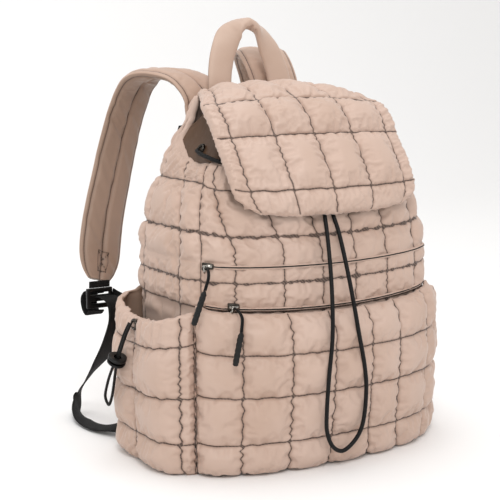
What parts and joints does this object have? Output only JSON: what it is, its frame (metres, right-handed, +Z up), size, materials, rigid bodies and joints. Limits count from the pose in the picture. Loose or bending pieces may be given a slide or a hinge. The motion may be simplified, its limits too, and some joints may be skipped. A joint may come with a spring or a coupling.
{
  "type": "quilted puffer backpack",
  "caption": "Soft quilted backpack with a fold-over flap and drawcord, zipped front, side pockets, carrying handle and padded shoulder straps.",
  "frame": {"origin": "on the floor under the middle of the main compartment, where the flat underside rests", "axes": "+Z up, from the underside to the handle; -Y is the front with the flap and pockets, +Y the side of the shoulder straps; +X is to the right when the front is looked at"},
  "size_m": [0.3898, 0.3362, 0.4453],
  "materials": {
    "quilted_nylon": "matt woven nylon over light wadding, quilted in squares",
    "padded_nylon": "matt woven nylon over foam",
    "collar_lining": "plain woven lining, slightly silky",
    "black_webbing": "ribbed woven polypropylene tape",
    "black_cord": "round braided polyester cord",
    "black_zip": "nylon coil zip on black tape",
    "black_plastic": "moulded acetal, lightly grained",
    "black_rubber": "ribbed moulded rubber",
    "black_metal": "black plated zinc"
  },
  "bodies": {
    "root": {"bag_body": "quilted_nylon", "front_pocket": "quilted_nylon", "top_flap": "quilted_nylon", "grab_handle": "padded_nylon", "collar": "collar_lining", "upper_zip": "black_zip", "lower_zip": "black_zip", "upper_zip_slider": "black_metal", "lower_zip_slider": "black_metal", "upper_zip_puller": "black_rubber", "lower_zip_puller": "black_rubber", "drawcord": "black_cord", "side_pocket_left": "quilted_nylon", "shoulder_strap_left": "padded_nylon", "ladder_lock_left": "black_plastic", "lower_webbing_left": "black_webbing", "webbing_curl_left": "black_webbing", "stay_webbing_left": "black_webbing", "strap_tab_left": "black_webbing", "collar_eyelet_left": "black_metal", "pocket_eyelet_left": "black_metal", "side_cord_left": "black_cord", "back_tab_left": "black_webbing", "cord_stopper_left": "black_plastic", "side_pocket_right": "quilted_nylon", "shoulder_strap_right": "padded_nylon", "ladder_lock_right": "black_plastic", "lower_webbing_right": "black_webbing", "webbing_curl_right": "black_webbing", "stay_webbing_right": "black_webbing", "strap_tab_right": "black_webbing", "collar_eyelet_right": "black_metal", "pocket_eyelet_right": "black_metal", "side_cord_right": "black_cord", "back_tab_right": "black_webbing", "cord_stopper_right": "black_plastic"}
  },
  "joints": []
}
